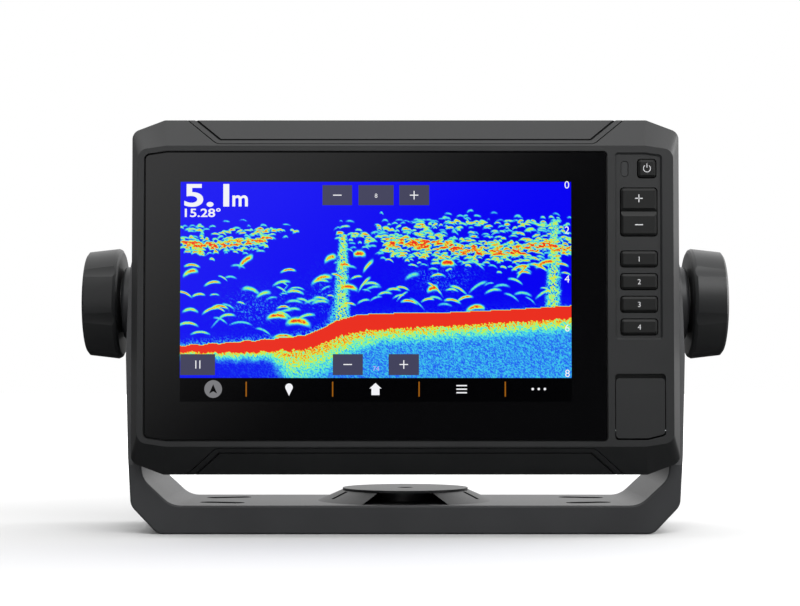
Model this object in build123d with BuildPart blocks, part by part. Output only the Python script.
"""A seven-inch fish finder on its tilting bracket, as separate pieces.

Units are millimetres. X runs to the user's right, Y away from the user and Z up. The origin is
on the deck, under the middle of the whole object. The head is a shallow eight-sided case that
is widest at its rim. It slides onto a cradle, and the cradle tilts between the two arms of a
U-shaped bracket, clamped by a knob on each side.
"""
from math import acos, atan2, cos, degrees, hypot, radians, sin
import os

from build123d import *

# The head, from its front face to the back of its rear shell
HEAD_Z = 95.7  # height of the head's middle
FRONT_Y = -46.0  # the front face
RIM_Y = -34.0  # where the sloping sides end
RIM_BACK_Y = -31.5  # the back of the rim
HEAD_BACK_Y = -6.0
WALL = 2.5
# An outline is half its width, half its height, where the top's flat ends and where the side's does
FRONT_OUTLINE = (106.3, 59.7, 95.0, 58.0)
RIM_OUTLINE = (110.2, 71.35, 97.1, 66.4)
PLATE_BACK_Y = -42.6  # the back of the bezel's front plate
CAVITY_FRONT = (104.9, 57.1, 93.5, 55.4)
CAVITY_RIM = (107.7, 65.4, 94.5, 60.5)
FLANGE_OUTLINE = (107.3, 64.8, 94.2, 60.0)
FLANGE_Y = -34.0
SHELL_FRONT = (104.0, 58.5, 88.0, 42.5)
SHELL_BACK = (93.0, 50.0, 79.0, 36.0)

# The window
GLASS_LEFT, GLASS_RIGHT = -103.4, 79.7
GLASS_HALF_HEIGHT = 57.15
GLASS_SLANT_X, GLASS_SLANT = -94.8, 1.3  # the left corners drop by GLASS_SLANT past here
GLASS_SINK = 0.1  # below the front face
GLASS_THICKNESS = 1.5
GLASS_GAP = 0.5
GASKET_THICKNESS = 0.3
GASKET_WIDTH = 3.2
LEDGE = 4.5  # what the glass rests on
SCREEN_X, SCREEN_Z = -11.8, 97.35  # middle of the lit area, which is 155.0 by 87.2
LCD_WIDTH, LCD_HEIGHT, LCD_THICKNESS = 165.0, 99.0, 5.4
LCD_Y = -42.3

# The key panel, sunk in the front face
PANEL_LEFT, PANEL_RIGHT, PANEL_BOTTOM, PANEL_TOP = 83.1, 101.9, 78.3, 152.7
PANEL_DEPTH = 0.8
PANEL_WALL_ANGLE = 45.0  # of the sloping wall round it
KEY_X = 92.65
KEY_PITCH = 9.0
KEY_4_Z = 83.3
KEY_WELL = (15.1, 6.85)
ROCKER_WELL, ROCKER_Z = (14.95, 19.6), 129.0
POWER_WELL, POWER_X, POWER_Z = (7.75, 7.85), 95.9, 146.3
SENSOR_WELL, SENSOR_X, SENSOR_Z = (3.0, 6.3), 87.1, 146.2
SENSOR_SINK = 0.3
WELL_RADIUS = 1.5
KEY_GAP = 0.4  # round a cap in its well
KEY_TOP_Y = -45.9
KEY_TRAVEL = 0.7
ROCKER_RIDGE_R = 0.45
FLANGE_GAP = 0.2

# The card door, low on the right. It turns on a pin near its lower edge.
DOOR_LEFT, DOOR_RIGHT, DOOR_BOTTOM, DOOR_TOP = 82.9, 103.0, 38.6, 64.8
DOOR_SLANT_X, DOOR_SLANT = 95.9, 1.8
DOOR_GAP = 0.35
NAIL_GAP = 1.8  # the strip above the door for a fingernail
DOOR_THICKNESS = 2.2
DOOR_PIN_Y, DOOR_PIN_Z, DOOR_PIN_R = -44.6, 42.2, 0.6
DOOR_POCKET_Y = -43.0
CARD_LEFT, CARD_RIGHT, CARD_BOTTOM, CARD_TOP = 85.6, 100.4, 46.0, 60.8  # the card compartment
CARD_READER_Y = -38.3

# The two trim strips, snapped over the screws in the sloping top and bottom
TRIM_START = 1.4  # from the front edge, up the slope
TRIM_HALF_FRONT, TRIM_HALF_RIM = 75.0, 87.5
TRIM_CORNER = 3.2
TRIM_GAP = 0.45
TRIM_THICKNESS = 2.2
TRIM_BORDER, TRIM_GROOVE_WIDTH, TRIM_GROOVE_DEPTH = 2.0, 1.0, 1.0

# The bracket and the pivot
PIVOT_Y, PIVOT_Z = 9.0, 94.6
BRACKET_HALF_DEPTH = 37.0
BASE_HEIGHT = 11.6
ARM_THICKNESS = 4.9
ARM_FOOT_X, ARM_TOP_X = 111.1, 114.8  # outer faces
ARM_BEND_Z = 72.0
FOOT_CHAMFER = 11.0
INNER_FOOT_X, INNER_FOOT_Z = 94.6, 22.5
ARM_SHOULDER_Z = 28.0  # the arm's edges lean in above this
ARM_END_R = 19.7
BOSS_X, BOSS_R = 118.6, 15.5
EDGE_R = 0.8  # round the edges of the base and the arms
HUB_FOOT_R, HUB_TOP_R, HUB_TOP_Z = 36.8, 26.4, 16.9
HUB_CAP_THICKNESS = 1.0
HUB_SLITS = (27.0, 153.0, 207.0, 333.0)  # directions of its snap slits, in degrees
HUB_BOLT_R = 3.2
SLOT_X, SLOT_Y, SLOT_LENGTH, SLOT_WIDTH, SLOT_TOE_IN = 75.8, 17.0, 19.5, 8.0, 17.0
BASE_SKIN = 3.0

# The clamping knobs
STUD_R = 4.0
KNOB_IN_X, KNOB_OUT_X = 119.4, 134.0
KNOB_IN_R, KNOB_OUT_R = 23.3, 21.9
KNOB_TAPER = degrees(atan2(KNOB_IN_R - KNOB_OUT_R, KNOB_OUT_X - KNOB_IN_X))
KNOB_SCALLOPS, SCALLOP_R, SCALLOP_DEPTH = 7, 12.0, 0.3
SCALLOP_START = 146.6  # the direction of the first, in degrees from the back over the top
EAR_X, EAR_R = 108.4, 14.0

# The cradle
CRADLE_Y, CRADLE_BACK_Y = -5.5, -0.5
LATCH_Y, LATCH_Z, LATCH_PIN_R = 1.0, 151.6, 1.2
SPRING_Y, SPRING_FOOT_Z, SPRING_TOP_Z = 9.0, 140.0, 149.4
SOCKET_X, SOCKET_Z, SOCKET_BACK_Y = 24.0, 67.0, 22.0

SCREW_PLACES = [(x, z) for x in (-86.0, 0.0, 86.0) for z in (-61.6, 61.6)]
FRAME_SCREWS = [(-99.8, -35.0), (-99.8, 35.0), (77.3, -38.0), (77.3, 38.0)]
STANDOFFS = [(x, z) for x in (-80.0, 60.0) for z in (-40.0, 40.0)]
KEYPAD_SCREWS = [(102.6, 79.4), (102.6, 150.6)]
PINS = [(4.2 * column, 4.2 * row) for column in (-1.5, -0.5, 0.5, 1.5) for row in (-0.5, 0.5)]

SIDES = (("left", -1), ("right", 1))
os.makedirs("parts", exist_ok=True)


def save(builder, name):
    """Labels a finished piece and writes its file."""
    builder.part.label = name
    export_step(builder.part, f"parts/{name}.step")


def facing(y):
    """The plane at depth y that faces the user, with its origin on the deck."""
    return Plane.XZ.offset(-y)


def head_plane(y):
    """The same, with its origin at the head's middle."""
    return Plane(origin=(0, y, HEAD_Z), x_dir=(1, 0, 0), z_dir=(0, -1, 0))


def across(x):
    """The plane at x that faces +X, with its origin on the pivot's axis: its axes are Y and Z."""
    return Plane(origin=(x, PIVOT_Y, PIVOT_Z), x_dir=(0, 1, 0), z_dir=(1, 0, 0))


def head_outline(y, shape, corner=2.0, side_corner=4.0):
    """The head's eight-sided outline at depth y."""
    half_width, half_height, flat_x, side_z = shape
    with BuildSketch(head_plane(y)) as face:
        with BuildLine():
            Polyline(
                (flat_x, half_height), (half_width, side_z), (half_width, -side_z),
                (flat_x, -half_height), (-flat_x, -half_height), (-half_width, -side_z),
                (-half_width, side_z), (-flat_x, half_height), close=True,
            )
        make_face()
        fillet(face.vertices().filter_by(lambda v: abs(v.X) > half_width - 0.01), side_corner)
        fillet(face.vertices().filter_by(lambda v: abs(abs(v.X) - flat_x) < 0.01), corner)
    return face.sketch


def glass_outline(y, grow):
    """The window's outline, whose left corners are a little slanted."""
    with BuildSketch(head_plane(y)) as face:
        with BuildLine():
            Polyline(
                (GLASS_RIGHT, GLASS_HALF_HEIGHT), (GLASS_SLANT_X, GLASS_HALF_HEIGHT),
                (GLASS_LEFT, GLASS_HALF_HEIGHT - GLASS_SLANT),
                (GLASS_LEFT, GLASS_SLANT - GLASS_HALF_HEIGHT),
                (GLASS_SLANT_X, -GLASS_HALF_HEIGHT), (GLASS_RIGHT, -GLASS_HALF_HEIGHT),
                close=True,
            )
        make_face()
        fillet(face.vertices().filter_by(lambda v: v.X < GLASS_LEFT + 0.01), 2.0)
        fillet(face.vertices().filter_by(lambda v: v.X > GLASS_RIGHT - 0.01), 1.2)
        if grow:
            offset(amount=grow, kind=Kind.INTERSECTION)
    return face.sketch


def door_outline(y, shrink, top=DOOR_TOP):
    """The card door's outline, whose lower right corner is slanted."""
    with BuildSketch(facing(y)) as face:
        with BuildLine():
            Polyline(
                (DOOR_LEFT + shrink, top), (DOOR_LEFT + shrink, DOOR_BOTTOM + 2 * shrink),
                (DOOR_SLANT_X, DOOR_BOTTOM + 2 * shrink),
                (DOOR_RIGHT - shrink, DOOR_BOTTOM + DOOR_SLANT + 2 * shrink),
                (DOOR_RIGHT - shrink, top), close=True,
            )
        make_face()
        fillet(face.vertices().filter_by(lambda v: abs(v.X - DOOR_SLANT_X) > 1), 1.4)
    return face.sketch


def slope_plane(side):
    """The sloping top (side 1) or bottom (side -1) of the bezel. Its Y runs towards the rim."""
    run, rise = RIM_Y - FRONT_Y, RIM_OUTLINE[1] - FRONT_OUTLINE[1]
    origin = (0, FRONT_Y, HEAD_Z + side * FRONT_OUTLINE[1])
    return Plane(origin=origin, x_dir=(side, 0, 0), z_dir=(0, -rise, side * run))


def trim_outline(side, grow):
    """A trim strip's footprint on the slope, carried on past the rim."""
    rim = hypot(RIM_Y - FRONT_Y, RIM_OUTLINE[1] - FRONT_OUTLINE[1])
    spread = (TRIM_HALF_RIM - TRIM_HALF_FRONT) / (rim - TRIM_START)
    far = rim + 6.0
    half_far = TRIM_HALF_FRONT + spread * (far - TRIM_START)
    with BuildSketch(slope_plane(side)) as face:
        with BuildLine():
            Polyline(
                (-TRIM_HALF_FRONT, TRIM_START), (TRIM_HALF_FRONT, TRIM_START),
                (half_far, far), (-half_far, far), close=True,
            )
        make_face()
        fillet(face.vertices().filter_by(lambda v: v.Y < TRIM_START + 0.01), TRIM_CORNER)
        if grow:
            offset(amount=grow, kind=Kind.INTERSECTION)
    return face.sketch


def head_form():
    """The bezel's outer form, without a hollow."""
    with BuildPart() as form:
        loft([head_outline(FRONT_Y, FRONT_OUTLINE), head_outline(RIM_Y, RIM_OUTLINE)], ruled=True)
        extrude(head_outline(RIM_Y, RIM_OUTLINE), amount=RIM_Y - RIM_BACK_Y)
    return form.part


HEAD_FORM = head_form()

# ---- front_bezel: the front shell, with the window, the key wells and the card compartment ----
KEYS = [(f"key_{4 - i}", KEY_X, KEY_4_Z + i * KEY_PITCH) for i in range(4)]
WELLS = [(KEY_WELL, x, z) for _, x, z in KEYS]
WELLS += [(ROCKER_WELL, KEY_X, ROCKER_Z), (POWER_WELL, POWER_X, POWER_Z)]
WELLS += [(SENSOR_WELL, SENSOR_X, SENSOR_Z)]
GLASS_Y = FRONT_Y + GLASS_SINK
LEDGE_Y = GLASS_Y + GLASS_THICKNESS + GASKET_THICKNESS

with BuildPart() as front_bezel:
    add(HEAD_FORM)
    loft(
        [head_outline(PLATE_BACK_Y, CAVITY_FRONT), head_outline(RIM_Y, CAVITY_RIM)],
        ruled=True, mode=Mode.SUBTRACT,
    )
    extrude(
        head_outline(RIM_Y, CAVITY_RIM), amount=RIM_Y - RIM_BACK_Y, mode=Mode.SUBTRACT
    )
    # bosses for the case screws, the chassis screws and the keypad screws
    with BuildSketch(head_plane(FLANGE_Y)):
        with Locations(*SCREW_PLACES):
            Circle(3.0)
    extrude(amount=FLANGE_Y - PLATE_BACK_Y)
    with BuildSketch(head_plane(-36.8)):
        with Locations(*FRAME_SCREWS):
            Circle(2.6)
    extrude(amount=-36.8 - PLATE_BACK_Y)
    with BuildSketch(facing(-38.4)):
        with Locations(*KEYPAD_SCREWS):
            Circle(1.6)
    extrude(amount=-38.4 - PLATE_BACK_Y)
    # walls of the card compartment and of the door's hinge slot
    with BuildSketch(facing(CARD_READER_Y)):
        with Locations(((DOOR_LEFT + DOOR_RIGHT) / 2, (39.4 + 63.0) / 2)):
            Rectangle(19.4, 63.0 - 39.4)
    extrude(amount=CARD_READER_Y - PLATE_BACK_Y)
    # nothing of these may pass through the sloping faces
    add(HEAD_FORM, mode=Mode.INTERSECT)
    extrude(glass_outline(FRONT_Y, GLASS_GAP), amount=FRONT_Y - LEDGE_Y, mode=Mode.SUBTRACT)
    extrude(glass_outline(FRONT_Y, -LEDGE), amount=FRONT_Y - PLATE_BACK_Y, mode=Mode.SUBTRACT)
    # the sunk key panel and the wells through it
    with BuildSketch(facing(FRONT_Y)) as panel:
        with BuildLine():
            Polyline(
                (PANEL_LEFT, PANEL_TOP), (PANEL_LEFT, PANEL_BOTTOM), (PANEL_RIGHT, PANEL_BOTTOM),
                (PANEL_RIGHT, PANEL_TOP - 1.0), (95.2, PANEL_TOP), close=True,
            )
        make_face()
        fillet(panel.vertices().filter_by(lambda v: abs(v.X - 95.2) > 1), 1.4)
    extrude(amount=-PANEL_DEPTH, taper=PANEL_WALL_ANGLE, mode=Mode.SUBTRACT)
    with BuildSketch(facing(FRONT_Y)):
        for (width, height), x, z in WELLS:
            with Locations((x, z)):
                RectangleRounded(width, height, WELL_RADIUS - 0.05)
    extrude(amount=FRONT_Y - PLATE_BACK_Y, mode=Mode.SUBTRACT)
    # the door's pocket, its hinge slot and the card compartment
    extrude(door_outline(FRONT_Y, 0.0), amount=FRONT_Y - DOOR_POCKET_Y, mode=Mode.SUBTRACT)
    extrude(
        door_outline(FRONT_Y, 0.0, top=44.4), amount=FRONT_Y + 40.8, mode=Mode.SUBTRACT
    )
    with BuildSketch(facing(FRONT_Y)):
        with Locations(((CARD_LEFT + CARD_RIGHT) / 2, (CARD_BOTTOM + CARD_TOP) / 2)):
            Rectangle(CARD_RIGHT - CARD_LEFT, CARD_TOP - CARD_BOTTOM)
    extrude(amount=FRONT_Y - CARD_READER_Y, mode=Mode.SUBTRACT)
    with BuildSketch(Plane.YZ.offset(DOOR_LEFT - 1.2)):
        with Locations((DOOR_PIN_Y, DOOR_PIN_Z)):
            Circle(DOOR_PIN_R + 0.02)
    extrude(amount=DOOR_RIGHT - DOOR_LEFT + 2.4, mode=Mode.SUBTRACT)
    # screw holes
    with BuildSketch(head_plane(FLANGE_Y)):
        with Locations(*SCREW_PLACES):
            Circle(1.3)
    extrude(amount=4.6, mode=Mode.SUBTRACT)
    with BuildSketch(head_plane(-36.8)):
        with Locations(*FRAME_SCREWS):
            Circle(1.05)
    extrude(amount=4.6, mode=Mode.SUBTRACT)
    with BuildSketch(facing(-38.4)):
        with Locations(*KEYPAD_SCREWS):
            Circle(0.85)
    extrude(amount=4.0, mode=Mode.SUBTRACT)
    # seats for the two trim strips
    for side in (1, -1):
        extrude(
            trim_outline(side, TRIM_GAP), amount=TRIM_THICKNESS + TRIM_GAP,
            dir=slope_plane(side).z_dir * -1, mode=Mode.SUBTRACT,
        )
save(front_bezel, "front_bezel")

# ---- top_trim and bottom_trim: strips that cover the mounting screws ----
for name, side in (("top_trim", 1), ("bottom_trim", -1)):
    inward = slope_plane(side).z_dir * -1
    with BuildPart() as groove:
        extrude(trim_outline(side, -TRIM_BORDER), amount=TRIM_GROOVE_DEPTH, dir=inward)
        extrude(
            trim_outline(side, -TRIM_BORDER - TRIM_GROOVE_WIDTH), amount=TRIM_GROOVE_DEPTH,
            dir=inward, mode=Mode.SUBTRACT,
        )
    with BuildPart() as trim:
        extrude(trim_outline(side, 0.0), amount=TRIM_THICKNESS, dir=inward)
        add(HEAD_FORM, mode=Mode.INTERSECT)
        add(groove.part, mode=Mode.SUBTRACT)
    save(trim, name)

# ---- cover_glass, glass_gasket and lcd_panel ----
with BuildPart() as cover_glass:
    extrude(glass_outline(GLASS_Y, 0.0), amount=-GLASS_THICKNESS)
    chamfer(cover_glass.faces().sort_by(Axis.Y)[0].edges(), 0.25)
save(cover_glass, "cover_glass")

with BuildPart() as glass_gasket:
    extrude(glass_outline(LEDGE_Y, 0.0), amount=GASKET_THICKNESS)
    extrude(glass_outline(LEDGE_Y, -GASKET_WIDTH), amount=GASKET_THICKNESS, mode=Mode.SUBTRACT)
save(glass_gasket, "glass_gasket")

with BuildPart() as lcd_panel:
    with BuildSketch(facing(LCD_Y)):
        with Locations((SCREEN_X, SCREEN_Z)):
            Rectangle(LCD_WIDTH, LCD_HEIGHT)
    extrude(amount=-LCD_THICKNESS)
    chamfer(lcd_panel.edges().filter_by(Axis.Y), 0.8)
save(lcd_panel, "lcd_panel")

# ---- lcd_frame: the metal chassis that holds the screen, with standoffs for the main board ----
FRAME_Y = -36.8
with BuildPart() as lcd_frame:
    with BuildSketch(facing(FRAME_Y)):
        with Locations((SCREEN_X, SCREEN_Z)):
            Rectangle(LCD_WIDTH + 3.0, LCD_HEIGHT + 3.0)
    extrude(amount=-1.5)
    with BuildSketch(head_plane(FRAME_Y)):
        for x, z in FRAME_SCREWS:
            with Locations((x + (4 if x < 0 else -4), z)):
                SlotOverall(14.0, 6.0)
    extrude(amount=-1.5)
    with BuildSketch(facing(FRAME_Y)):
        with Locations((SCREEN_X, SCREEN_Z)):
            Rectangle(LCD_WIDTH + 3.0, LCD_HEIGHT + 3.0)
            Rectangle(LCD_WIDTH + 0.4, LCD_HEIGHT + 0.4, mode=Mode.SUBTRACT)
    extrude(amount=5.0)
    with BuildSketch(head_plane(FRAME_Y + 1.5)):
        with Locations(*STANDOFFS):
            Circle(2.6)
    extrude(amount=-4.3)
    # lightening windows
    with BuildSketch(facing(FRAME_Y)):
        with Locations((SCREEN_X, SCREEN_Z)):
            with GridLocations(46.0, 38.0, 3, 2):
                RectangleRounded(36.0, 28.0, 3.0)
    extrude(amount=-1.5, mode=Mode.SUBTRACT)
    with BuildSketch(head_plane(FRAME_Y + 5.8)):
        with Locations(*STANDOFFS):
            Circle(1.05)
    extrude(amount=3.6, mode=Mode.SUBTRACT)
    with BuildSketch(head_plane(FRAME_Y)):
        with Locations(*FRAME_SCREWS):
            Circle(1.2)
    extrude(amount=-1.5, mode=Mode.SUBTRACT)
save(lcd_frame, "lcd_frame")

# ---- main_board and what is on it ----
BOARD_Y, BOARD_BACK_Y = -31.0, -29.4
with BuildPart() as main_board:
    with BuildSketch(head_plane(BOARD_Y)):
        with Locations((-10.0, 0)):
            RectangleRounded(150.0, 90.0, 3.0)
        with Locations(*STANDOFFS):
            Circle(1.2, mode=Mode.SUBTRACT)
    extrude(amount=BOARD_Y - BOARD_BACK_Y)
save(main_board, "main_board")

CHIPS = [  # (x, z, width, height, how far each stands off the board)
    (-30.0, 14.0, 23.0, 23.0, 2.0), (5.0, 22.0, 12.0, 14.0, 1.2), (5.0, 4.0, 12.0, 14.0, 1.2),
    (32.0, -8.0, 14.0, 14.0, 1.6), (-8.0, -30.0, 16.0, 10.0, 2.4), (56.0, 0.0, 5.0, 16.0, 2.0),
    (20.0, -34.0, 9.0, 9.0, 4.5), (8.0, -12.0, 7.0, 7.0, 1.0),
]
with BuildPart() as board_components:
    for x, z, width, height, standing in CHIPS:
        with BuildSketch(head_plane(BOARD_BACK_Y)):
            with Locations((x, z)):
                Rectangle(width, height)
        extrude(amount=-standing)
    with BuildSketch(head_plane(BOARD_BACK_Y)):
        with Locations(*[(-74.0 + 9.0 * i, 36.0) for i in range(4)]):
            Circle(3.2)
    extrude(amount=-5.6)
save(board_components, "board_components")

with BuildPart() as shield_can:
    with BuildSketch(head_plane(BOARD_BACK_Y)):
        with Locations((-56.0, -18.0)):
            RectangleRounded(46.0, 38.0, 1.0)
    extrude(amount=-4.2)
    fillet(shield_can.faces().sort_by(Axis.Y)[-1].edges(), 0.5)
    with BuildSketch(head_plane(BOARD_BACK_Y)):
        with Locations((-56.0, -18.0)):
            RectangleRounded(45.0, 37.0, 0.6)
    extrude(amount=-3.8, mode=Mode.SUBTRACT)
save(shield_can, "shield_can")

with BuildPart() as heat_spreader:
    with BuildSketch(head_plane(-24.2)):
        with Locations((-30.0, 1.0)):
            RectangleRounded(84.0, 60.0, 3.0)
    extrude(amount=-1.4)
    with BuildSketch(head_plane(-24.2)):
        with Locations((-30.0, 14.0)):
            Rectangle(20.0, 20.0)
    extrude(amount=3.1)
save(heat_spreader, "heat_spreader")

with BuildPart() as gps_antenna:
    with BuildSketch(head_plane(BOARD_BACK_Y)):
        with Locations((36.0, 26.0)):
            RectangleRounded(30.0, 30.0, 1.0)
    extrude(amount=-1.0)
    with BuildSketch(head_plane(BOARD_BACK_Y + 1.0)):
        with Locations((36.0, 26.0)):
            Rectangle(25.0, 25.0)
    extrude(amount=-4.0)
save(gps_antenna, "gps_antenna")

with BuildPart() as beeper:
    with BuildSketch(head_plane(BOARD_BACK_Y)):
        with Locations((46.0, -30.0)):
            Circle(6.0)
    extrude(amount=-5.5)
    fillet(beeper.faces().sort_by(Axis.Y)[-1].edges(), 0.5)
    with BuildSketch(head_plane(BOARD_BACK_Y + 5.5)):
        with Locations((46.0, -30.0)):
            Circle(1.0)
    extrude(amount=2.0, mode=Mode.SUBTRACT)
save(beeper, "beeper")

# ---- light_sensor_window, keypad_mat and keypad_board ----
with BuildPart() as light_sensor_window:
    window_y = FRONT_Y + PANEL_DEPTH + SENSOR_SINK
    with BuildSketch(facing(window_y)):
        with Locations((SENSOR_X, SENSOR_Z)):
            RectangleRounded(SENSOR_WELL[0] - 0.4, SENSOR_WELL[1] - 0.4, WELL_RADIUS - 0.3)
    extrude(amount=window_y - PLATE_BACK_Y)
    with BuildSketch(facing(PLATE_BACK_Y)):
        with Locations((SENSOR_X, SENSOR_Z)):
            RectangleRounded(4.6, 8.0, 1.4)
    extrude(amount=-0.8)
save(light_sensor_window, "light_sensor_window")

PLUNGERS = [(x, z) for _, x, z in KEYS] + [(POWER_X, POWER_Z)]
PLUNGERS += [(KEY_X, ROCKER_Z + 6.0), (KEY_X, ROCKER_Z - 6.0)]
KEYPAD_LEFT, KEYPAD_BOTTOM, KEYPAD_TOP = 83.4, 77.0, 153.0
with BuildPart() as keypad_mat:
    with BuildSketch(facing(-40.4)):
        with Locations(((KEYPAD_LEFT + 101.0) / 2, (KEYPAD_BOTTOM + KEYPAD_TOP) / 2)):
            RectangleRounded(101.0 - KEYPAD_LEFT, KEYPAD_TOP - KEYPAD_BOTTOM, 1.5)
        with Locations(*PLUNGERS):
            Circle(1.7, mode=Mode.SUBTRACT)
    extrude(amount=-0.8)
save(keypad_mat, "keypad_mat")

with BuildPart() as keypad_board:
    with BuildSketch(facing(-38.4)):
        with Locations(((KEYPAD_LEFT + 104.4) / 2, (KEYPAD_BOTTOM + KEYPAD_TOP) / 2)):
            Rectangle(104.4 - KEYPAD_LEFT, KEYPAD_TOP - KEYPAD_BOTTOM)
        with Locations(*KEYPAD_SCREWS):
            Circle(1.0, mode=Mode.SUBTRACT)
    extrude(amount=-1.2)
    with BuildSketch(facing(-38.4)):
        with Locations(*PLUNGERS):
            Circle(1.5)
    extrude(amount=0.5)
save(keypad_board, "keypad_board")


# ---- key_1 to key_4, power_key and zoom_rocker ----
def key_cap(width, height, flange_width, flange_height, flange_y, x, z):
    """A cap with sloping edges, and the flange behind the plate that keeps it in."""
    with BuildPart() as cap:
        with BuildSketch(facing(flange_y)):
            with Locations((x, z)):
                RectangleRounded(width, height, WELL_RADIUS - 0.3)
        extrude(amount=flange_y - KEY_TOP_Y)
        chamfer(cap.faces().sort_by(Axis.Y)[0].edges(), 0.55, 0.9)
        with BuildSketch(facing(flange_y)):
            with Locations((x, z)):
                RectangleRounded(flange_width, flange_height, 1.0)
        extrude(amount=-1.0)
    return cap.part


KEY_FLANGE_Y = PLATE_BACK_Y + FLANGE_GAP
SQUARE_KEYS = [(name, KEY_WELL, (17.0, 8.2), x, z) for name, x, z in KEYS]
SQUARE_KEYS += [("power_key", POWER_WELL, (9.6, 9.6), POWER_X, POWER_Z)]
for name, (width, height), (flange_width, flange_height), x, z in SQUARE_KEYS:
    with BuildPart() as key:
        add(
            key_cap(
                width - 2 * KEY_GAP, height - 2 * KEY_GAP, flange_width, flange_height,
                KEY_FLANGE_Y, x, z,
            )
        )
        with BuildSketch(facing(KEY_FLANGE_Y + 1.0)):
            with Locations((x, z)):
                Circle(1.2)
        extrude(amount=-1.65)
    save(key, name)

ROCKER_FLANGE_Y = PLATE_BACK_Y + 0.7
with BuildPart() as zoom_rocker:
    add(
        key_cap(
            ROCKER_WELL[0] - 2 * KEY_GAP, ROCKER_WELL[1] - 2 * KEY_GAP, 16.6, 20.8,
            ROCKER_FLANGE_Y, KEY_X, ROCKER_Z,
        )
    )
    # the valley between plus and minus
    with BuildSketch(Plane.YZ.offset(KEY_X - 10)):
        with BuildLine():
            Polyline(
                (KEY_TOP_Y - 0.1, ROCKER_Z + 1.7), (KEY_TOP_Y + 0.9, ROCKER_Z + 0.2),
                (KEY_TOP_Y - 0.1, ROCKER_Z - 1.9), close=True,
            )
        make_face()
    extrude(amount=20, mode=Mode.SUBTRACT)
    # the ridge that it rocks on
    with BuildSketch(Plane.YZ.offset(KEY_X - 5)):
        with Locations((ROCKER_FLANGE_Y + 1.0, ROCKER_Z)):
            Circle(ROCKER_RIDGE_R)
    extrude(amount=10)
    with BuildSketch(facing(ROCKER_FLANGE_Y + 1.0)):
        with Locations((KEY_X, ROCKER_Z + 6.0), (KEY_X, ROCKER_Z - 6.0)):
            Circle(1.2)
    extrude(amount=-1.1)
save(zoom_rocker, "zoom_rocker")

# ---- card_door, card_door_pin, card_door_seal and card_reader ----
with BuildPart() as card_door:
    extrude(
        door_outline(FRONT_Y, DOOR_GAP, top=DOOR_TOP - NAIL_GAP), amount=-DOOR_THICKNESS
    )
    with BuildSketch(Plane.YZ.offset(DOOR_LEFT + DOOR_GAP)):
        with Locations((DOOR_PIN_Y, DOOR_PIN_Z)):
            Circle(1.39)
    extrude(amount=DOOR_RIGHT - DOOR_LEFT - 2 * DOOR_GAP)
    with BuildSketch(Plane.YZ.offset(DOOR_LEFT)):
        with Locations((DOOR_PIN_Y, DOOR_PIN_Z)):
            Circle(DOOR_PIN_R + 0.05)
    extrude(amount=DOOR_RIGHT - DOOR_LEFT, mode=Mode.SUBTRACT)
save(card_door, "card_door")

with BuildPart() as card_door_pin:
    with BuildSketch(Plane.YZ.offset(DOOR_LEFT - 1.1)):
        with Locations((DOOR_PIN_Y, DOOR_PIN_Z)):
            Circle(DOOR_PIN_R)
    extrude(amount=DOOR_RIGHT - DOOR_LEFT + 2.2)
save(card_door_pin, "card_door_pin")

with BuildPart() as card_door_seal:
    with BuildSketch(facing(DOOR_POCKET_Y)):
        with Locations(((CARD_LEFT + CARD_RIGHT) / 2, (CARD_BOTTOM + CARD_TOP) / 2)):
            RectangleRounded(CARD_RIGHT - CARD_LEFT + 2.8, CARD_TOP - CARD_BOTTOM + 2.8, 1.6)
            RectangleRounded(
                CARD_RIGHT - CARD_LEFT + 0.4, CARD_TOP - CARD_BOTTOM + 0.4, 0.8,
                mode=Mode.SUBTRACT,
            )
    extrude(amount=0.7)
save(card_door_seal, "card_door_seal")

with BuildPart() as card_reader:
    with BuildSketch(facing(CARD_READER_Y)):
        with Locations(((CARD_LEFT + CARD_RIGHT) / 2, (CARD_BOTTOM + CARD_TOP) / 2)):
            Rectangle(18.0, 18.0)
    extrude(amount=-3.6)
    with BuildSketch(facing(CARD_READER_Y)):
        with Locations((91.0, 53.4), (95.4, 53.4)):
            Rectangle(1.1, 11.4)
    extrude(amount=-3.0, mode=Mode.SUBTRACT)
save(card_reader, "card_reader")

# ---- ribbon_cable: a flat flex from the keypad board to the main board ----
with BuildPart() as ribbon_cable:
    with BuildLine() as route:
        FilletPolyline(
            (92.0, -36.95, 88.0), (79.0, -36.95, 88.0), (75.5, -28.0, 88.0), (58.6, -28.0, 88.0),
            radius=2.4,
        )
    with BuildSketch(Plane.XY.offset(88.0)):
        trace(route.line, 0.3)
    extrude(amount=12.0)
save(ribbon_cable, "ribbon_cable")

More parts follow.
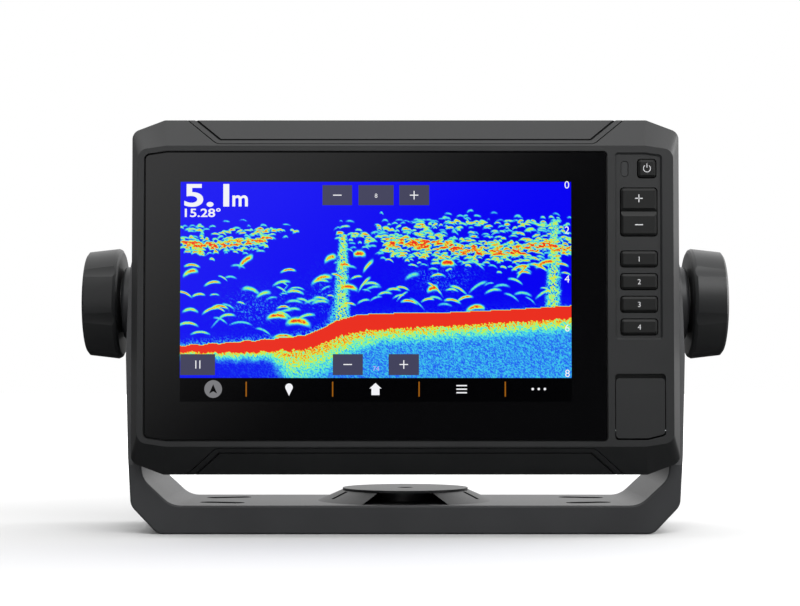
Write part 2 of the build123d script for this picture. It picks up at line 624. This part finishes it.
# ---- rear_housing: the rear shell, with the pocket for the cradle's contacts ----
POCKET = (44.0, 34.0)
with BuildPart() as rear_housing:
    loft(
        [
            head_outline(RIM_BACK_Y, SHELL_FRONT, 6.0, 8.0),
            head_outline(HEAD_BACK_Y, SHELL_BACK, 6.0, 8.0),
        ],
        ruled=True,
    )
    fillet(rear_housing.faces().sort_by(Axis.Y)[-1].edges(), 2.5)
    extrude(head_outline(RIM_BACK_Y, FLANGE_OUTLINE), amount=RIM_BACK_Y - FLANGE_Y)
    hollow_back = tuple(value - 1.6 for value in SHELL_BACK)
    hollow_front = tuple(value - 1.9 for value in SHELL_FRONT)
    loft(
        [
            head_outline(FLANGE_Y, hollow_front, 4.0, 6.0),
            head_outline(HEAD_BACK_Y - WALL, hollow_back, 4.0, 6.0),
        ],
        ruled=True, mode=Mode.SUBTRACT,
    )
    # the contact pocket and the latch's groove, each with a wall of its own
    with BuildSketch(head_plane(HEAD_BACK_Y - 1.0)):
        with Locations((0, 0)):
            RectangleRounded(POCKET[0] + 2 * WALL, POCKET[1] + 2 * WALL, 4.0)
        with Locations((0, 46.0)):
            Rectangle(25.0, 6.0)
    extrude(amount=11.0)
    with BuildSketch(head_plane(HEAD_BACK_Y)):
        RectangleRounded(*POCKET, 3.0)
    extrude(amount=9.0, mode=Mode.SUBTRACT)
    with BuildSketch(head_plane(HEAD_BACK_Y)):
        with Locations((0, 55.0)):
            Rectangle(20.0, 14.0)
    extrude(amount=9.5, mode=Mode.SUBTRACT)
    with BuildSketch(head_plane(HEAD_BACK_Y)):
        Rectangle(26.0, 14.0)
        with Locations((60.0, -26.0)):
            Circle(3.0)
    extrude(amount=14.0, mode=Mode.SUBTRACT)
    with BuildSketch(head_plane(RIM_BACK_Y)):
        with Locations(*SCREW_PLACES):
            Circle(1.6)
    extrude(amount=2.5, mode=Mode.SUBTRACT)
    # shallow grooves that stiffen the back
    with BuildSketch(head_plane(HEAD_BACK_Y)):
        for x in (-64.0, 64.0):
            with Locations((x, 8.0)):
                with GridLocations(0, 7.0, 1, 7):
                    SlotOverall(30.0, 2.4)
    extrude(amount=0.8, mode=Mode.SUBTRACT)
save(rear_housing, "rear_housing")

with BuildPart() as contact_socket:
    with BuildSketch(head_plane(HEAD_BACK_Y - 9.0)):
        Rectangle(25.8, 13.8)
    extrude(amount=5.0)
    with BuildSketch(head_plane(HEAD_BACK_Y - 9.0)):
        RectangleRounded(32.0, 18.0, 1.5)
    extrude(amount=-1.2)
    with BuildSketch(head_plane(HEAD_BACK_Y - 7.8)):
        with Locations(*PINS):
            Circle(0.7)
    extrude(amount=-4.2)
save(contact_socket, "contact_socket")

with BuildPart() as pressure_vent:
    with BuildSketch(head_plane(HEAD_BACK_Y)):
        with Locations((60.0, -26.0)):
            Circle(2.95)
    extrude(amount=WALL)
    with BuildSketch(head_plane(HEAD_BACK_Y)):
        with Locations((60.0, -26.0)):
            Circle(4.6)
    extrude(amount=-0.3)
save(pressure_vent, "pressure_vent")

with BuildPart() as housing_seal:
    seal_outer = (106.6, 63.7, 93.9, 59.2)
    extrude(head_outline(FLANGE_Y, seal_outer), amount=1.0)
    extrude(
        head_outline(FLANGE_Y, tuple(value - 1.4 for value in seal_outer)), amount=1.0,
        mode=Mode.SUBTRACT,
    )
    with BuildSketch(head_plane(FLANGE_Y)):
        with Locations(*SCREW_PLACES):
            Circle(3.05)
    extrude(amount=1.0, mode=Mode.SUBTRACT)
    with BuildSketch(head_plane(FLANGE_Y)):
        with Locations(*SCREW_PLACES):
            Circle(4.2)
            Circle(3.05, mode=Mode.SUBTRACT)
    extrude(amount=1.0)
    with BuildSketch(head_plane(FLANGE_Y)):
        Rectangle(300, 300)
    extrude(head_outline(FLANGE_Y, seal_outer), amount=1.0, mode=Mode.INTERSECT)
save(housing_seal, "housing_seal")


def screws(places, plane, head_r, head_height, shank_r, shank_length):
    """Pan-head screws whose heads rest on the plane, each with a cross recess."""
    with BuildPart() as group:
        with BuildSketch(plane):
            with Locations(*places):
                Circle(head_r)
        extrude(amount=-head_height)
        heads = group.faces().filter_by(lambda f: f.center().Y > plane.origin.Y + head_height - 0.01)
        chamfer(heads.edges(), head_height * 0.3)
        with BuildSketch(plane):
            with Locations(*places):
                Circle(shank_r)
        extrude(amount=shank_length)
        with BuildSketch(plane.offset(-head_height)):
            with Locations(*places):
                Rectangle(head_r, head_r * 0.28)
                Rectangle(head_r * 0.28, head_r)
        extrude(amount=head_height * 0.5, mode=Mode.SUBTRACT)
    return group.part


with BuildPart() as housing_screws:
    add(screws(SCREW_PLACES, head_plane(RIM_BACK_Y), 2.6, 1.7, 1.25, 6.8))
save(housing_screws, "housing_screws")

with BuildPart() as board_screws:
    add(screws(STANDOFFS, head_plane(BOARD_BACK_Y), 2.0, 1.2, 1.0, 4.6))
    add(screws(FRAME_SCREWS, head_plane(FRAME_Y + 1.5), 2.2, 1.2, 1.0, 5.6))
    add(screws(KEYPAD_SCREWS, facing(-37.2), 1.5, 0.9, 0.8, 4.6))
save(board_screws, "board_screws")

# ---- bail_bracket: one moulding, a base with two arms ----
lean = INNER_FOOT_X + 11.7
with BuildPart() as bail_bracket:
    with BuildSketch(facing(PIVOT_Y + BRACKET_HALF_DEPTH)) as section:
        with BuildLine():
            outer = [
                (ARM_FOOT_X - FOOT_CHAMFER, 0), (ARM_FOOT_X, FOOT_CHAMFER + 0.5),
                (ARM_TOP_X, ARM_BEND_Z), (ARM_TOP_X, PIVOT_Z + ARM_END_R),
            ]
            inner = [
                (ARM_TOP_X - ARM_THICKNESS, PIVOT_Z + ARM_END_R),
                (ARM_TOP_X - ARM_THICKNESS, ARM_BEND_Z), (lean, INNER_FOOT_Z),
                (INNER_FOOT_X, BASE_HEIGHT),
            ]
            right = outer + inner
            Polyline(*right, *[(-x, z) for x, z in reversed(right)], close=True)
        make_face()
        corners = section.vertices()
        fillet(corners.filter_by(lambda v: v.Y < 12 and abs(v.X) > 96), 6.0)
        inner_foot = section.vertices().filter_by(lambda v: abs(abs(v.X) - INNER_FOOT_X) < 0.01)
        fillet(inner_foot, 10.0)
        inner_bend = section.vertices().filter_by(lambda v: abs(abs(v.X) - lean) < 0.01)
        fillet(inner_bend, 8.0)
    extrude(amount=2 * BRACKET_HALF_DEPTH)
    # seen from the side, each arm leans in to a round end
    with BuildSketch(across(-140)) as side_shape:
        Circle(ARM_END_R)
        with BuildLine():
            foot = -PIVOT_Z
            shoulder = ARM_SHOULDER_Z - PIVOT_Z
            reach = hypot(BRACKET_HALF_DEPTH, shoulder)
            turn = atan2(shoulder, BRACKET_HALF_DEPTH) + acos(ARM_END_R / reach)
            touch = (ARM_END_R * cos(turn), ARM_END_R * sin(turn))
            Polyline(
                (BRACKET_HALF_DEPTH, foot), (BRACKET_HALF_DEPTH, shoulder), touch,
                (-touch[0], touch[1]), (-BRACKET_HALF_DEPTH, shoulder),
                (-BRACKET_HALF_DEPTH, foot), close=True,
            )
        make_face()
    extrude(amount=280, mode=Mode.INTERSECT)
    front_and_back = bail_bracket.faces().filter_by(
        lambda f: abs(f.center().Z) < 60 and abs(abs(f.center().Y - PIVOT_Y) - BRACKET_HALF_DEPTH) < 0.01
    )
    fillet(front_and_back.edges().filter_by(lambda e: e.center().Z > 0.01), EDGE_R)
    # the hub that the centre bolt passes through
    with BuildSketch(Plane.XY.offset(BASE_HEIGHT)):
        with Locations((0, PIVOT_Y)):
            Circle(HUB_FOOT_R)
    hub_top = HUB_TOP_Z - HUB_CAP_THICKNESS
    with BuildSketch(Plane.XY.offset(hub_top)):
        with Locations((0, PIVOT_Y)):
            Circle(HUB_TOP_R + 0.6)
    loft(ruled=True)
    # the bosses that the studs pass through
    for side in (-1, 1):
        with BuildSketch(across(side * (ARM_TOP_X - 1.0))):
            Circle(BOSS_R)
        extrude(amount=side * (BOSS_X - ARM_TOP_X + 1.0))
    rims = bail_bracket.faces().filter_by(lambda f: abs(f.center().X) > BOSS_X - 0.01)
    fillet(rims.edges(), 1.4)
    with BuildSketch(across(-140)):
        Circle(STUD_R + 0.5)
    extrude(amount=280, mode=Mode.SUBTRACT)
    # the hollow underside, with ribs, slot bosses and the hub's bolt column left standing
    with BuildSketch(Plane.XY):
        with Locations((0, PIVOT_Y)):
            RectangleRounded(2 * 96.0, 2 * (BRACKET_HALF_DEPTH - 3.0), 3.0)
            with GridLocations(32.0, 0, 7, 1):
                Rectangle(2.0, 80.0, mode=Mode.SUBTRACT)
            Rectangle(200.0, 2.0, mode=Mode.SUBTRACT)
            for x in (-SLOT_X, SLOT_X):
                for y in (-SLOT_Y, SLOT_Y):
                    turned = SLOT_TOE_IN if x * y < 0 else -SLOT_TOE_IN
                    with Locations(Location((x, y), turned)):
                        SlotOverall(SLOT_LENGTH + 5.0, SLOT_WIDTH + 5.0, mode=Mode.SUBTRACT)
            Circle(11.0, mode=Mode.SUBTRACT)
    extrude(amount=BASE_HEIGHT - BASE_SKIN, mode=Mode.SUBTRACT)
    # the hub is hollow, with a window at the front
    with BuildSketch(Plane.XY.offset(BASE_HEIGHT)):
        with Locations((0, PIVOT_Y)):
            Circle(23.0)
            Circle(11.0, mode=Mode.SUBTRACT)
    extrude(amount=hub_top - BASE_HEIGHT, mode=Mode.SUBTRACT)
    with BuildSketch(facing(PIVOT_Y)):
        with BuildLine():
            Polyline(
                (-17.5, BASE_HEIGHT), (17.5, BASE_HEIGHT), (9.85, hub_top + 1), (-9.85, hub_top + 1),
                close=True,
            )
        make_face()
    extrude(amount=50, mode=Mode.SUBTRACT)
    with BuildSketch(Plane.XY.offset(BASE_HEIGHT)):
        with Locations((0, PIVOT_Y)):
            Circle(11.0)
    extrude(amount=hub_top - BASE_HEIGHT)
    # snap slits round the hub
    with BuildSketch(Plane.XY.offset(BASE_HEIGHT + 1.2)):
        for angle in HUB_SLITS:
            middle = (30.8 * cos(radians(angle)), PIVOT_Y + 30.8 * sin(radians(angle)))
            with Locations(Location(middle, angle)):
                Rectangle(7.0, 2.4)
    extrude(amount=4.0, mode=Mode.SUBTRACT)
    with BuildSketch(Plane.XY):
        with Locations((0, PIVOT_Y)):
            Circle(HUB_BOLT_R)
            for x in (-SLOT_X, SLOT_X):
                for y in (-SLOT_Y, SLOT_Y):
                    turned = SLOT_TOE_IN if x * y < 0 else -SLOT_TOE_IN
                    with Locations(Location((x, y), turned)):
                        SlotOverall(SLOT_LENGTH, SLOT_WIDTH)
    extrude(amount=30, mode=Mode.SUBTRACT)
save(bail_bracket, "bail_bracket")

with BuildPart() as hub_cap:
    with BuildSketch(Plane.XY.offset(hub_top)):
        with Locations((0, PIVOT_Y)):
            Circle(HUB_TOP_R)
            Circle(HUB_BOLT_R, mode=Mode.SUBTRACT)
    extrude(amount=HUB_CAP_THICKNESS)
    fillet(hub_cap.edges().filter_by(GeomType.CIRCLE).sort_by(Axis.Z)[-1:], 0.5)
save(hub_cap, "hub_cap")

# ---- the clamping knobs, one on each side ----
for word, side in SIDES:
    with BuildPart() as knob:
        with BuildSketch(Plane.XY.offset(PIVOT_Z)):
            with BuildLine():
                profile = [
                    (KNOB_IN_X, 0), (KNOB_IN_X, KNOB_IN_R - 1.8),
                    (KNOB_IN_X + 0.6, KNOB_IN_R - 0.6), (KNOB_IN_X + 1.8, KNOB_IN_R),
                    (KNOB_OUT_X - 0.9, KNOB_OUT_R),
                    (KNOB_OUT_X, KNOB_OUT_R - 1.2), (KNOB_OUT_X - 0.3, KNOB_OUT_R - 3.4),
                    (KNOB_OUT_X - 6.0, KNOB_OUT_R - 6.4), (KNOB_OUT_X - 6.0, 9.5),
                    (KNOB_OUT_X - 2.2, 7.6), (KNOB_OUT_X - 2.2, 0),
                ]
                Polyline(*[(side * x, PIVOT_Y + r) for x, r in profile], close=True)
            make_face()
        revolve(axis=Axis((0, PIVOT_Y, PIVOT_Z), (1, 0, 0)))
        with BuildSketch(across(side * KNOB_IN_X)):
            with PolarLocations(
                KNOB_IN_R + SCALLOP_R - SCALLOP_DEPTH, KNOB_SCALLOPS,
                start_angle=SCALLOP_START,
            ):
                Circle(SCALLOP_R)
        extrude(
            amount=side * (KNOB_OUT_X - KNOB_IN_X), taper=-KNOB_TAPER, mode=Mode.SUBTRACT
        )
        with BuildSketch(across(side * KNOB_IN_X)):
            Circle(STUD_R)
        extrude(amount=side * 8.0, mode=Mode.SUBTRACT)
    save(knob, f"knob_{word}")

    with BuildPart() as knob_stud:
        with BuildSketch(across(side * 93.5)):
            Circle(STUD_R)
        extrude(amount=side * (KNOB_IN_X + 8.0 - 93.5))
        chamfer(knob_stud.faces().sort_by(Axis.X)[0 if side > 0 else -1].edges(), 0.6)
    save(knob_stud, f"knob_stud_{word}")

    with BuildPart() as knob_washer:
        with BuildSketch(across(side * (BOSS_X + 0.05))):
            Circle(12.0)
            Circle(STUD_R + 0.3, mode=Mode.SUBTRACT)
        extrude(amount=side * (KNOB_IN_X - BOSS_X - 0.1))
    save(knob_washer, f"knob_washer_{word}")

    with BuildPart() as friction_washer:
        with BuildSketch(across(side * EAR_X)):
            Circle(EAR_R - 0.5)
            Circle(STUD_R + 0.6, mode=Mode.SUBTRACT)
        extrude(amount=side * (ARM_TOP_X - ARM_THICKNESS - EAR_X - 0.06))
    save(friction_washer, f"friction_washer_{word}")

    with BuildPart() as threaded_insert:
        with BuildSketch(across(side * (EAR_X - 15.0))):
            Circle(6.5)
            Circle(STUD_R + 0.05, mode=Mode.SUBTRACT)
        extrude(amount=side * 15.0)
    save(threaded_insert, f"threaded_insert_{word}")

# ---- cradle_body: the quick-release cradle between the arms ----
with BuildPart() as cradle_body:
    with BuildSketch(facing(CRADLE_Y)):
        with Locations((0, 97.0)):
            RectangleRounded(112.0, 96.0, 8.0)
    extrude(amount=CRADLE_Y - CRADLE_BACK_Y)
    with BuildSketch(across(-EAR_X)):
        Circle(EAR_R)
        with Locations((-2.5, 0)):
            Rectangle(12.0, 2 * EAR_R - 3)
    extrude(amount=2 * EAR_X)
    # a rear block that carries the two sockets
    with BuildSketch(facing(CRADLE_BACK_Y)):
        with Locations((0, SOCKET_Z)):
            RectangleRounded(94.0, 34.0, 6.0)
    extrude(amount=-12.0)
    with BuildSketch(facing(CRADLE_BACK_Y + 12.0)):
        with Locations((-SOCKET_X, SOCKET_Z), (SOCKET_X, SOCKET_Z)):
            Circle(12.0)
    extrude(amount=9.0, mode=Mode.SUBTRACT)
    # lightening pockets in the crossbeam's back
    with BuildSketch(facing(PIVOT_Y + EAR_R)):
        with Locations((0, PIVOT_Z)):
            with GridLocations(44.0, 0, 4, 1):
                Rectangle(38.0, 20.0)
    extrude(amount=EAR_R + 5.0, mode=Mode.SUBTRACT)
    # the latch's bracket and its spring seat
    with BuildSketch(Plane.YZ.offset(-15.0)):
        with Locations((LATCH_Y - 1.0, 149.0)):
            Rectangle(9.0, 12.0)
    extrude(amount=30.0)
    fillet(cradle_body.edges().filter_by(Axis.X).sort_by(Axis.Z)[-2:], 3.0)
    with BuildSketch(Plane.YZ.offset(-12.2)):
        with Locations((LATCH_Y + 4.0, 155.0)):
            Rectangle(34.0, 19.0)
    extrude(amount=24.4, mode=Mode.SUBTRACT)
    with BuildSketch(Plane.XY.offset(SPRING_FOOT_Z)):
        with Locations((0, 6.5)):
            Rectangle(14.0, 15.0)
    extrude(amount=-4.0)
    with BuildSketch(Plane.YZ.offset(-20.0)):
        with Locations((LATCH_Y, LATCH_Z)):
            Circle(LATCH_PIN_R)
    extrude(amount=40.0, mode=Mode.SUBTRACT)
    with BuildSketch(across(-140)):
        Circle(6.5)
    extrude(amount=140 - EAR_X + 15.0, mode=Mode.SUBTRACT)
    with BuildSketch(across(140)):
        Circle(6.5)
    extrude(amount=EAR_X - 15.0 - 140, mode=Mode.SUBTRACT)
save(cradle_body, "cradle_body")

with BuildPart() as cradle_contact_block:
    with BuildSketch(head_plane(CRADLE_Y)):
        RectangleRounded(40.0, 30.0, 3.0)
    extrude(amount=6.5)
    with BuildSketch(head_plane(CRADLE_Y - 6.5)):
        with Locations(*PINS):
            Circle(1.1)
    extrude(amount=-5.5, mode=Mode.SUBTRACT)
save(cradle_contact_block, "cradle_contact_block")

for name, x, pins in (("power_socket", -SOCKET_X, 4), ("transducer_socket", SOCKET_X, 8)):
    with BuildPart() as socket:
        with BuildSketch(facing(CRADLE_BACK_Y + 3.0)):
            with Locations((x, SOCKET_Z)):
                Circle(10.5)
        extrude(amount=CRADLE_BACK_Y + 3.0 - SOCKET_BACK_Y)
        with BuildSketch(facing(SOCKET_BACK_Y)):
            with Locations((x, SOCKET_Z)):
                Circle(8.2)
        extrude(amount=14.0, mode=Mode.SUBTRACT)
        with BuildSketch(facing(SOCKET_BACK_Y - 14.0)):
            with Locations((x, SOCKET_Z)):
                with PolarLocations(4.6, pins):
                    Circle(0.8)
        extrude(amount=-6.0)
        # the key that lets the plug in one way round
        with BuildSketch(facing(SOCKET_BACK_Y)):
            with Locations((x, SOCKET_Z + 7.9)):
                Rectangle(2.4, 1.2)
        extrude(amount=14.0)
    save(socket, name)

# ---- latch_lever, latch_pin and latch_spring ----
with BuildPart() as latch_lever:
    with BuildSketch(Plane.YZ.offset(-9.0)):
        with BuildLine():
            Polyline(
                (-12.8, 144.2), (-9.6, 144.2), (-9.0, 149.4), (12.0, 149.4), (16.0, 152.0),
                (16.0, 157.0), (12.0, 155.2), (4.0, 153.4), (-12.8, 152.0), close=True,
            )
        make_face()
    extrude(amount=18.0)
    with BuildSketch(Plane.YZ.offset(-11.8)):
        with Locations((LATCH_Y, LATCH_Z)):
            Circle(3.2)
    extrude(amount=23.6)
    with BuildSketch(Plane.YZ.offset(-20.0)):
        with Locations((LATCH_Y, LATCH_Z)):
            Circle(LATCH_PIN_R + 0.05)
    extrude(amount=40.0, mode=Mode.SUBTRACT)
save(latch_lever, "latch_lever")

with BuildPart() as latch_pin:
    with BuildSketch(Plane.YZ.offset(-15.0)):
        with Locations((LATCH_Y, LATCH_Z)):
            Circle(LATCH_PIN_R)
    extrude(amount=30.0)
save(latch_pin, "latch_pin")

with BuildPart() as latch_spring:
    with BuildLine() as coil:
        Helix(
            pitch=1.65, height=SPRING_TOP_Z - SPRING_FOOT_Z - 1.1, radius=2.6,
            center=(0, SPRING_Y, SPRING_FOOT_Z + 0.45),
        )
    with BuildSketch(Plane(origin=coil.line @ 0, z_dir=coil.line % 0)):
        Circle(0.4)
    sweep(path=coil.line, is_frenet=True)
save(latch_spring, "latch_spring")
